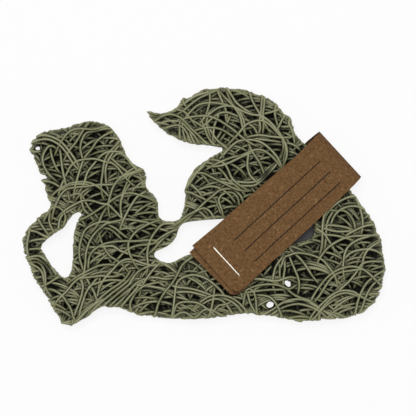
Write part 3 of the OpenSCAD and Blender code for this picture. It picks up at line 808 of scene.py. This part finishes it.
def tube_faces(n, sides, first):
    """The faces of a tube of n rings, with caps, whose points start at first."""
    i = np.arange(n - 1)[:, None] * sides
    j = np.arange(sides)[None, :]
    k = (j + 1) % sides
    quads = np.stack([i + j, i + k, i + sides + k, i + sides + j], -1).reshape(-1, 4) + first
    caps = [list(range(first + sides - 1, first - 1, -1)),
            list(range(first + (n - 1) * sides, first + n * sides))]
    return quads.tolist() + caps


# Painted shadow of the card on the strands beyond its upper edge, and a darker painted shadow
# spot near it, in the tag's t and s
SHADE_EDGE = 9.9
SHADE_WIDTH = 1.3
SHADE_DEPTH = 1.5
SHADE_START = 6
SHADE_EASE = 4
SHADE_FROM = 4
# A spot of deeper painted shadow on the strands, in t and s, its half sizes and its depth
CARD_SHADOW_SPOT = (33.0, 11.0)
CARD_SHADOW_SPOT_SIZE = (4.2, 1.9)
CARD_SHADOW_SPOT_DEPTH = 2.6


def card_shade(points):
    """The cover that the card's painted shadow adds beside its upper edge, with a deeper painted
    shadow spot in one place.
    """
    t = (points[:, :2] - TAG_START) @ TAG_ALONG
    s = (points[:, :2] - TAG_START) @ TAG_ACROSS
    beside = np.clip(1 - np.abs(s - SHADE_EDGE) / SHADE_WIDTH, 0, 1)
    ends = np.clip(np.minimum(t - SHADE_START, FOLD_AT - t) / SHADE_EASE, 0, 1)
    shadow_spot = 1 - np.hypot((t - CARD_SHADOW_SPOT[0]) / CARD_SHADOW_SPOT_SIZE[0], (s - CARD_SHADOW_SPOT[1]) / CARD_SHADOW_SPOT_SIZE[1])
    shade = np.maximum(SHADE_DEPTH * beside * ends, CARD_SHADOW_SPOT_DEPTH * np.clip(shadow_spot, 0, 1))
    return shade * np.clip(points[:, 2] - SHADE_FROM, 0, 1)


# Cover: how deep a point lies in the pile, by which the strands' colour gets painted shade
# Places round a point, of which the few highest decide how deep the point lies. From below
# the cover grows faster, and at the resting face and the cut it starts at FACE_COVER.
AROUND = [(0, 0), (0.9, 0), (-0.9, 0), (0, 0.9), (0, -0.9), (0.7, 0.7), (-0.7, 0.7),
          (0.7, -0.7), (-0.7, -0.7)]
FEW = 4
FROM_BELOW = 1.5
FACE_COVER = 0.2


def cover_above(points):
    """How deep in the mat a point lies, from the top, the resting face or the cut side, with the
    card's painted shadow added; it sets the strands' painted shade.
    """
    reach = []
    for offset in AROUND:
        at = cells_of(points[:, :2] + offset)
        reach.append(height[at[:, 0], at[:, 1]])
    top = np.sort(reach, axis=0)[-FEW:].mean(axis=0)
    inset = rough_depth(points[:, :2])
    deep = np.min([top - points[:, 2], FROM_BELOW * points[:, 2] + FACE_COVER,
                   inset + FACE_COVER], axis=0)
    return np.clip(deep, 0, None) + card_shade(points)


# Width along the cut in which points are trimmed and the flanks' painted shade fades
EDGE_BAND = 1.5


def trimmed(points):
    """Points past the cut go back onto it, and none goes below the floor or above the top."""
    near = np.flatnonzero(rough_depth(points[:, :2]) < EDGE_BAND)
    exact, edge = signed_depth(points[near, :2])
    out = exact < 0
    points[near[out], :2] = edge[out]
    points[:, 2] = np.clip(points[:, 2], 0, MAT_TOP)
    return points


def smooth_mesh(name, points, faces):
    """A smooth-shaded object from points in mm."""
    mesh = bpy.data.meshes.new(name)
    mesh.from_pydata((np.asarray(points) * MM).tolist(), [], faces)
    mesh.validate()
    mesh.shade_smooth()
    return linked(name, mesh)


def with_attribute(obj, name, kind, values):
    """Stores a number or a vector for each of the object's points."""
    attribute = obj.data.attributes.new(name, kind, "POINT")
    key = "vector" if kind == "FLOAT_VECTOR" else "value"
    attribute.data.foreach_set(key, np.asarray(values, np.float32).ravel())


# Material helpers
def plug(tree, node, inputs):
    """Sets a node's inputs to values, or links them to other nodes' outputs."""
    for key, value in inputs.items():
        if isinstance(value, bpy.types.NodeSocket):
            tree.links.new(value, node.inputs[key])
        else:
            node.inputs[key].default_value = value


def node_of(tree, kind, inputs, **settings):
    """The outputs of a new node with these settings and inputs."""
    node = tree.nodes.new("ShaderNode" + kind)
    for key, value in settings.items():
        setattr(node, key, value)
    plug(tree, node, inputs)
    return node.outputs


def math_of(tree, operation, *values):
    return node_of(tree, "Math", dict(enumerate(values)), operation=operation)[0]


def mixed(tree, share, low, high):
    """The colour low where share is 0 and high where it is 1."""
    return node_of(tree, "Mix", {0: share, 6: low, 7: high}, data_type="RGBA")[2]


def ranged(tree, value, low, high, at_low=0.0, at_high=1.0):
    """A value from the range low to high, brought to the range at_low to at_high."""
    return node_of(tree, "MapRange", {"Value": value, "From Min": low, "From Max": high,
                                      "To Min": at_low, "To Max": at_high})[0]


def noise(tree, place, scale, detail, roughness=0.5):
    return node_of(tree, "TexNoise", {"Vector": place, "Scale": scale, "Detail": detail,
                                      "Roughness": roughness})[0]


def bumps(tree, heights, strength, distance):
    return node_of(tree, "Bump", {"Height": heights, "Strength": strength,
                                  "Distance": distance})[0]


def stored(tree, name, kind="Fac"):
    """What with_attribute stored under the name."""
    return node_of(tree, "Attribute", {}, attribute_name=name)[kind]


def parts_of(tree, vector):
    return node_of(tree, "SeparateXYZ", {"Vector": vector})[:]


def object_place(tree):
    return node_of(tree, "TexCoord", {})["Object"]


def plain_material(name):
    material = bpy.data.materials.new(name)
    material.use_nodes = True
    tree = material.node_tree
    return material, tree, tree.nodes["Principled BSDF"]


def linear(r, g, b):
    """A colour as the picture stores it, 0 to 255, in Blender's linear numbers."""
    return [((c / 255 + 0.055) / 1.055) ** 2.4 if c > 10 else c / 255 / 12.92
            for c in (r, g, b)] + [1.0]


def strand_material():
    """Satin plastic with fine streaks, with painted shade on its flanks and painted shade deep in
    the pile.
    """
    material, tree, shader = plain_material("strand")
    grain = stored(tree, "grain", "Vector")
    stretched = node_of(tree, "Mapping", {"Vector": grain, "Scale": (0.35, 2.2, 2.2)})[0]
    streaks = noise(tree, stretched, 1.6, 4.0, 0.6)
    colour = mixed(tree, stored(tree, "tone"), linear(145, 146, 107), linear(176, 174, 139))
    colour = mixed(tree, streaks, linear(127, 129, 90), colour)
    # Painted shade: each strand's flanks darken towards near-black by how little they face up,
    # less so near the cut
    facing_up = math_of(tree, "ABSOLUTE", parts_of(tree, grain)[2])
    painted_flank_shade = ranged(tree, facing_up, 0.55, 1.0, 0.96, 0.0)
    shaded = math_of(tree, "MULTIPLY", painted_flank_shade, stored(tree, "inset"))
    colour = mixed(tree, shaded, colour, linear(18, 20, 6))
    # Painted shade: the deeper a point's cover, the nearer its colour goes to near-black and its
    # roughness to matt
    shallow = ranged(tree, stored(tree, "cover"), 0.4, 3.5, 1.0, 0.0)
    lit = math_of(tree, "POWER", shallow, 2.2)
    satin = ranged(tree, streaks, 0.0, 1.0, 0.36, 0.56)
    plug(tree, shader, {
        "Base Color": mixed(tree, lit, linear(11, 12, 1), colour),
        "Roughness": node_of(tree, "Mix", {0: lit, 2: 0.95, 3: satin})[0],
        "Normal": bumps(tree, streaks, 0.35, 0.0002),
        "Specular IOR Level": 0.4})
    return material


# Three ruled lines on the front panel, in the tag's t and s
RULE_STEP = 4.7
RULE_LOWEST = -6.4
RULE_HALF = 0.2
RULE_SOFT = 0.06
RULES = (11.5, 49.0)


def ruled_lines(tree):
    """A mask of three lines along the front panel, soft-edged as ink on card is."""
    t, s, front = parts_of(tree, stored(tree, "place", "Vector"))
    turned = math_of(tree, "ADD", s, RULE_STEP / 2 - RULE_LOWEST)
    in_step = math_of(tree, "MODULO", turned, RULE_STEP)
    off = math_of(tree, "ABSOLUTE", math_of(tree, "SUBTRACT", in_step, RULE_STEP / 2))
    line = ranged(tree, off, RULE_HALF + RULE_SOFT, RULE_HALF - RULE_SOFT)
    for kind, value, edge in [("GREATER_THAN", t, RULES[0]), ("LESS_THAN", t, RULES[1]),
                              ("GREATER_THAN", s, RULE_LOWEST - 1),
                              ("LESS_THAN", s, RULE_LOWEST + 2.5 * RULE_STEP),
                              ("GREATER_THAN", front, 0.5)]:
        line = math_of(tree, "MULTIPLY", line, math_of(tree, kind, value, edge))
    return line


def fold_shade(tree):
    """A mask of painted shade on the loop's inside near the fold, and on the lap beside the front
    panel's end.
    """
    t = parts_of(tree, stored(tree, "place", "Vector"))[0]
    fold = ranged(tree, t, 30.0, 42.0, 0.0, 0.75)
    lap = ranged(tree, t, -0.55, 0.0, 0.0, 0.6)
    near_lap = math_of(tree, "MULTIPLY", lap, math_of(tree, "LESS_THAN", t, 3.0))
    return math_of(tree, "MULTIPLY", stored(tree, "inner"),
                   math_of(tree, "MAXIMUM", fold, near_lap))


def card_material():
    """Kraft card with fibres, dark and pale flecks, painted shade on its inside and ruled lines.
    """
    material, tree, shader = plain_material("card")
    place = object_place(tree)
    fibres = noise(tree, place, 1500.0, 5.0, 0.7)
    fibre = ranged(tree, fibres, 0.3, 0.7)
    clouds = math_of(tree, "MULTIPLY", noise(tree, place, 260.0, 3.0), 0.35)
    specks = noise(tree, place, 900.0, 2.0, 0.8)
    colour = mixed(tree, fibre, linear(76, 52, 28), linear(132, 99, 64))
    ink = math_of(tree, "MULTIPLY", ruled_lines(tree),
                  math_of(tree, "MULTIPLY_ADD", fibre, -0.25, 1.0))
    # The fold_shade colour (30, 20, 12) is painted shade on the inside and the lap
    for share, over in [(clouds, (107, 78, 49)),
                        (ranged(tree, specks, 0.42, 0.3, 0.0, 0.6), (72, 48, 26)),
                        (ranged(tree, specks, 0.6, 0.72, 0.0, 0.6), (158, 122, 84)),
                        (fold_shade(tree), (30, 20, 12)), (ink, (34, 28, 24))]:
        colour = mixed(tree, share, colour, linear(*over))
    plug(tree, shader, {"Base Color": colour, "Normal": bumps(tree, fibres, 0.3, 0.0001),
                        "Roughness": 0.85, "Specular IOR Level": 0.12})
    return material


def wire_material():
    """Bright drawn wire with fine marks."""
    material, tree, shader = plain_material("wire")
    drawn = noise(tree, object_place(tree), 3000.0, 3.0)
    plug(tree, shader, {"Base Color": linear(252, 247, 232), "Metallic": 0.75,
                        "Roughness": ranged(tree, drawn, 0.0, 1.0, 0.42, 0.6),
                        "Normal": bumps(tree, drawn, 0.1, 0.00005)})
    return material


# The mat, in nine layers from the resting face to the soap face
LAYERS = ["sole_strands", "second_strands", "third_strands", "fourth_strands",
          "fifth_strands", "sixth_strands", "seventh_strands", "eighth_strands",
          "soap_face_strands"]
FINE_STEP = 0.5


def all_runs():
    """Every strand's runs, the lowest first: level, points, whether traced, and tone."""
    fine = [resampled(strand, FINE_STEP)[0] for strand in strands]
    runs = []
    for number, (line, depth) in enumerate(zip(fine, exact_depths(fine))):
        tone = rng.uniform()
        runs += [(run[:, 2].mean(), run, number >= len(base), tone)
                 for run in kept_runs(line, depth)]
    return sorted(runs, key=lambda item: item[0])


def in_layers(runs):
    """The runs shared out to the layers, from the lowest up, as much strand to each."""
    total = sum(len(item[1]) for item in runs)
    layers = [[] for _ in LAYERS]
    laid = 0
    for item in runs:
        layers[min(int(laid * len(LAYERS) / total), len(LAYERS) - 1)].append(item)
        laid += len(item[1])
    return layers


strand_look = strand_material()
for node, items in zip(LAYERS, in_layers(all_runs())):
    points, faces, grains, tones = [], [], [], []
    first = 0
    for level, run, is_traced, tone in items:
        sides = TOP_SIDES if is_traced or level > TOP_LEVEL else SIDES
        rings, grain = tube(run, sides, STRAND_R)
        points.append(rings.reshape(-1, 3))
        grains.append(grain.reshape(-1, 3))
        tones.append(np.full(len(points[-1]), tone))
        faces += tube_faces(len(run), sides, first)
        first += len(points[-1])
    points = trimmed(np.vstack(points))
    # inset fades the flanks' painted shade out towards the cut
    inset = np.clip(rough_depth(points[:, :2]) / EDGE_BAND, 0, 1)
    piece = smooth_mesh("mat_" + node, points, faces)
    with_attribute(piece, "tone", "FLOAT", np.concatenate(tones))
    # cover: depth in the pile plus the card's painted shadow, which the material turns into
    # painted shade
    with_attribute(piece, "cover", "FLOAT", cover_above(points))
    with_attribute(piece, "inset", "FLOAT", inset)
    with_attribute(piece, "grain", "FLOAT_VECTOR", np.vstack(grains))
    piece.data.materials.append(strand_look)
    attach(piece, "mat")
    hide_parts(node)

# Card tag: heights and bends as in the part's source, seen in the tag's own t and s
MAT_GAP = 0.12
LAP_GAP = 0.05
WIRE_D = 0.5
LAP_Z = MAT_TOP + WIRE_D + MAT_GAP
FRONT_LAP_Z = LAP_Z + CARD_T + LAP_GAP
FRONT_Z = MAT_TOP + MAT_GAP
FOLD_R = (FRONT_Z + CARD_T - BACK_Z) / 2
SLOPE = (9.4, 24.4)
RAMP_R = 2.8
RAMP_HEAD = -12.95
RAMP_FOOT = -3.81
ramp_run = RAMP_FOOT - RAMP_HEAD
ramp_rise = LAP_Z - BACK_Z
bend_span = math.hypot(ramp_run, ramp_rise - 2 * RAMP_R)
RAMP_TILT = math.atan2(ramp_rise - 2 * RAMP_R, ramp_run) + math.asin(2 * RAMP_R / bend_span)
RAMP_BEND = 9


def ramp_line():
    """The back panel's middle line in y and z, from the lap to the foot under the tail."""
    a = np.linspace(0, RAMP_TILT, RAMP_BEND)
    foot = np.column_stack([RAMP_FOOT - RAMP_R * np.sin(a),
                            BACK_Z + CARD_T / 2 + RAMP_R * (1 - np.cos(a))])
    head = np.column_stack([RAMP_HEAD + RAMP_R * np.sin(a[::-1]),
                            LAP_Z + CARD_T / 2 - RAMP_R * (1 - np.cos(a[::-1]))])
    return np.vstack([foot, head])[::-1]


ramp = ramp_line()

# How far the card's two long edges lie from its middle line: t, lower side, upper side
FRONT_EDGES = np.array([(0, -10.15, 10.9), (11, -10.3, 10.35), (31, -10.45, 9.95),
                        (44, -10.25, 9.5), (48, -10.15, 9.6), (51, -10.1, 9.75),
                        (60, -10.1, 9.75)])
BACK_AT_FOLD = (-9.3, 10.5)
BACK_AT_LAP = (-10.8, 9.9)
# Where the ends lie along t, at their upper and lower sides, and the cut corner
FRONT_END = (0.2, -0.15)
BACK_END = (-1.95, -1.25)
END_EASE = 6
CORNER_CUT = 1.6
CORNER_SIDE = 0.09
SIDE = np.concatenate([[0, 0.03, 0.06], np.linspace(CORNER_SIDE, 1, 16)])
# The front panel bulges a little from BULGE_START to the fold, and stays above the ramp by
# LAP_ROOM as far along as LAP_CLEAR
BULGE_START = 22
BULGE = 0.16
LAP_CLEAR = 26
LAP_ROOM = 0.04
FRONT_ROWS = 60
FOLD_ROWS = 32
BACK_ROWS = 109
CREASE = math.radians(40)


def front_rows():
    """Rows of t and z for the front panel's and the fold's middle line."""
    t = np.linspace(0, FOLD_AT, FRONT_ROWS)
    ease = np.clip((t - SLOPE[0]) / (SLOPE[1] - SLOPE[0]), 0, 1)
    ease = ease * ease * (3 - 2 * ease)
    z = FRONT_LAP_Z + (FRONT_Z - FRONT_LAP_Z) * ease + CARD_T / 2
    bulge = np.clip((t - BULGE_START) / (FOLD_AT - BULGE_START), 0, 1)
    z = z + BULGE * np.sin(bulge * math.pi) ** 2
    a = np.linspace(math.pi / 2, -math.pi / 2, FOLD_ROWS + 1)[1:]
    r = FOLD_R - CARD_T / 2
    return (np.concatenate([t, FOLD_AT + r * np.cos(a)]),
            np.concatenate([z, BACK_Z + FOLD_R + r * np.sin(a)]))


def end_line(at_upper, at_lower):
    """Where the card ends along t, from its lower to its upper side, its lower corner cut."""
    slant = at_lower + (at_upper - at_lower) * SIDE
    return slant + np.clip(1 - SIDE / CORNER_SIDE, 0, 1) * CORNER_CUT


def in_mat(t, s):
    """x and y of places at the tag's t and s."""
    return TAG_START + np.multiply.outer(t, TAG_ALONG) + np.multiply.outer(s, TAG_ACROSS)


def card_rows():
    """Rows of points on the strip's middle surface, from the front end to the back end, and
    for each point its t and s, with 1 on the front panel and 0 elsewhere."""
    rows, places = [], []
    for k, (t, z) in enumerate(zip(*front_rows())):
        low = np.interp(t, FRONT_EDGES[:, 0], FRONT_EDGES[:, 1])
        high = np.interp(t, FRONT_EDGES[:, 0], FRONT_EDGES[:, 2])
        if k >= FRONT_ROWS:
            bend = (k - FRONT_ROWS + 1) / FOLD_ROWS
            low += (BACK_AT_FOLD[0] - low) * bend
            high += (BACK_AT_FOLD[1] - high) * bend
        s = low + (high - low) * SIDE
        at_t = t + end_line(*FRONT_END) * np.clip(1 - t / END_EASE, 0, 1)
        xy = in_mat(at_t, s)
        up = np.full(len(s), z)
        if t < LAP_CLEAR:
            up = np.maximum(up, np.interp(xy[:, 1], *ramp.T) + CARD_T + LAP_ROOM)
        rows.append(np.column_stack([xy, up]))
        places.append(np.column_stack([at_t, s, np.full(len(s), float(k < FRONT_ROWS))]))
    for share in np.linspace(0, 1, BACK_ROWS + 1)[1:]:
        low = BACK_AT_FOLD[0] + (BACK_AT_LAP[0] - BACK_AT_FOLD[0]) * share
        high = BACK_AT_FOLD[1] + (BACK_AT_LAP[1] - BACK_AT_FOLD[1]) * share
        s = low + (high - low) * SIDE
        at_t = FOLD_AT + (end_line(*BACK_END) - FOLD_AT) * share
        xy = in_mat(at_t, s)
        rows.append(np.column_stack([xy, np.interp(xy[:, 1], *ramp.T)]))
        places.append(np.column_stack([at_t, s, np.zeros(len(s))]))
    return np.array(rows), np.array(places)


def strip(name, rows, thickness):
    """A closed strip of card round its middle surface."""
    normal = unit(np.cross(np.gradient(rows, axis=0), np.gradient(rows, axis=1)))
    front = rows + normal * (thickness / 2)
    back = rows - normal * (thickness / 2)
    n, m = rows.shape[:2]
    size = 2 * m
    faces = []
    for i in range(n - 1):
        for j in range(size):
            k = (j + 1) % size
            faces.append((i * size + j, i * size + k, (i + 1) * size + k, (i + 1) * size + j))
    for i, order in [(0, 1), (n - 1, -1)]:
        for j in range(m - 1):
            quad = (i * size + j + 1, i * size + j, i * size + size - 1 - j,
                    i * size + size - 2 - j)
            faces.append(quad[::order])
    piece = smooth_mesh(name, np.concatenate([front, back[:, ::-1]], 1).reshape(-1, 3), faces)
    piece.data.set_sharp_from_angle(angle=CREASE)
    return piece


card_middle, card_places = card_rows()
card = strip("card_strip", card_middle, CARD_T)
inner_places = card_places[:, ::-1] * [1, 1, 0]
is_inner = np.concatenate([np.zeros(card_places.shape[:2]), np.ones(card_places.shape[:2])], 1)
with_attribute(card, "place", "FLOAT_VECTOR", np.concatenate([card_places, inner_places], 1))
with_attribute(card, "inner", "FLOAT", is_inner)
card.data.materials.append(card_material())
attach(card, "tag")
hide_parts("tag_card")

# Staple: wire bent to a C, its crown over the front panel
STAPLE_T = 4.9
STAPLE_S = -0.3
CROWN_L = 12.7
CLINCH_L = 4.2
GAP = 0.02
WIRE_MARGIN = 0.004
WIRE_BEND_R = 0.75 * WIRE_D
WIRE_SIDES = 12


def staple_line():
    """The wire's middle line in s and z, from one clinched end over the crown to the other."""
    top = FRONT_LAP_Z + CARD_T + GAP + WIRE_D / 2
    low = LAP_Z - GAP - WIRE_D / 2
    half = CROWN_L / 2 - WIRE_D / 2
    side = [(0.0, top)]
    for centre_z, turn in [(top - WIRE_BEND_R, 0), (low + WIRE_BEND_R, -90)]:
        a = np.radians(np.linspace(90, 0, 6) + turn)
        centre = np.array([half - WIRE_BEND_R, centre_z])
        side += list(centre + WIRE_BEND_R * np.column_stack([np.cos(a), np.sin(a)]))
    side.append((half - CLINCH_L, low))
    side = np.array(side)
    return np.vstack([side[:0:-1] * [-1, 1], side])


def wire_piece(name, line, at_t, aside, radius):
    """Wire swept along a line in s and z."""
    path = np.column_stack([in_mat(at_t, line[:, 0] + aside), line[:, 1]])
    along = unit(np.gradient(path, axis=0))
    flat = np.broadcast_to([*TAG_ALONG, 0.0], path.shape)
    rings = rings_round(path, flat, np.cross(along, flat), radius, WIRE_SIDES)
    return smooth_mesh(name, rings.reshape(-1, 3), tube_faces(len(path), WIRE_SIDES, 0))


staple = wire_piece("staple_wire", staple_line(), STAPLE_T, STAPLE_S,
                    WIRE_D / 2 - WIRE_MARGIN)
staple.data.materials.append(wire_material())
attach(staple, "tag")
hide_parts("staple")

# Floor, in metres: white, with a painted shadow spot that shows through the slot beside the tag
FLOOR = 0.6
FLOOR_Z = -0.00002
FLOOR_SHADE = 0.92
FLOOR_WHITE = 0.84
SHADOW_SPOT_AT = (0.0320, -0.0095, 0.0)
SHADOW_SPOT_REACH = (0.006, 0.012)
SHADOW_SPOT_GREY = 0.12


def floor_material():
    """A lit floor, which keeps the object's shadow, mixed with white for what sees it, except at
    a painted shadow spot under the slot.
    """
    material, tree, shader = plain_material("floor")
    ray = node_of(tree, "LightPath", {})
    seen = math_of(tree, "MAXIMUM", ray["Is Camera Ray"],
                   math_of(tree, "MAXIMUM", ray["Is Glossy Ray"], ray["Is Transmission Ray"]))
    position = node_of(tree, "NewGeometry", {})["Position"]
    far = node_of(tree, "VectorMath", {0: position, 1: SHADOW_SPOT_AT}, operation="DISTANCE")["Value"]
    off_shadow_spot = ranged(tree, far, *SHADOW_SPOT_REACH)
    # Painted shadow: the floor goes dark grey near the spot under the slot, and the white mix
    # leaves it out there
    colour = mixed(tree, off_shadow_spot, [SHADOW_SPOT_GREY] * 3 + [1], [FLOOR_SHADE] * 3 + [1])
    plug(tree, shader, {"Base Color": colour, "Roughness": 0.9, "Specular IOR Level": 0.0})
    white = node_of(tree, "Emission", {"Strength": 1.0})[0]
    share = math_of(tree, "MULTIPLY", seen, math_of(tree, "MULTIPLY", off_shadow_spot, FLOOR_WHITE))
    both = node_of(tree, "MixShader", {0: share, 1: shader.outputs[0], 2: white})[0]
    plug(tree, tree.nodes["Material Output"], {"Surface": both})
    return material


floor_mesh = bpy.data.meshes.new("floor")
floor_mesh.from_pydata([(-FLOOR, -FLOOR, 0), (FLOOR, -FLOOR, 0), (FLOOR, FLOOR, 0),
                        (-FLOOR, FLOOR, 0)], [], [(0, 1, 2, 3)])
floor_mesh.materials.append(floor_material())
floor = linked("floor", floor_mesh)
floor.location = (0, 0, FLOOR_Z)


def soft_light(name, at, size, level):
    """A round lamp aimed at the object, which adds level to what a white floor shows."""
    far = math.sqrt(sum(v * v for v in at))
    data = bpy.data.lights.new(name, "AREA")
    data.shape = "DISK"
    data.size = size
    data.energy = level * math.pi**2 * far**2 / (at[2] / far)
    light = linked(name, data)
    light.location = at
    light.rotation_euler = (0, math.acos(at[2] / far), math.atan2(at[1], at[0]))


soft_light("above", (-0.05, 0.15, 1.0), 0.6, 0.75)
soft_light("left", (-0.8, 0.1, 0.6), 0.5, 0.04)
soft_light("right", (0.8, -0.1, 0.6), 0.5, 0.04)

WORLD_LEVEL = 0.22
world = bpy.data.worlds.new("world")
bpy.context.scene.world = world
world.use_nodes = True
plug(world.node_tree, world.node_tree.nodes["Background"],
     {"Color": (1, 1, 1, 1), "Strength": WORLD_LEVEL})
bpy.context.scene.view_settings.view_transform = "Standard"
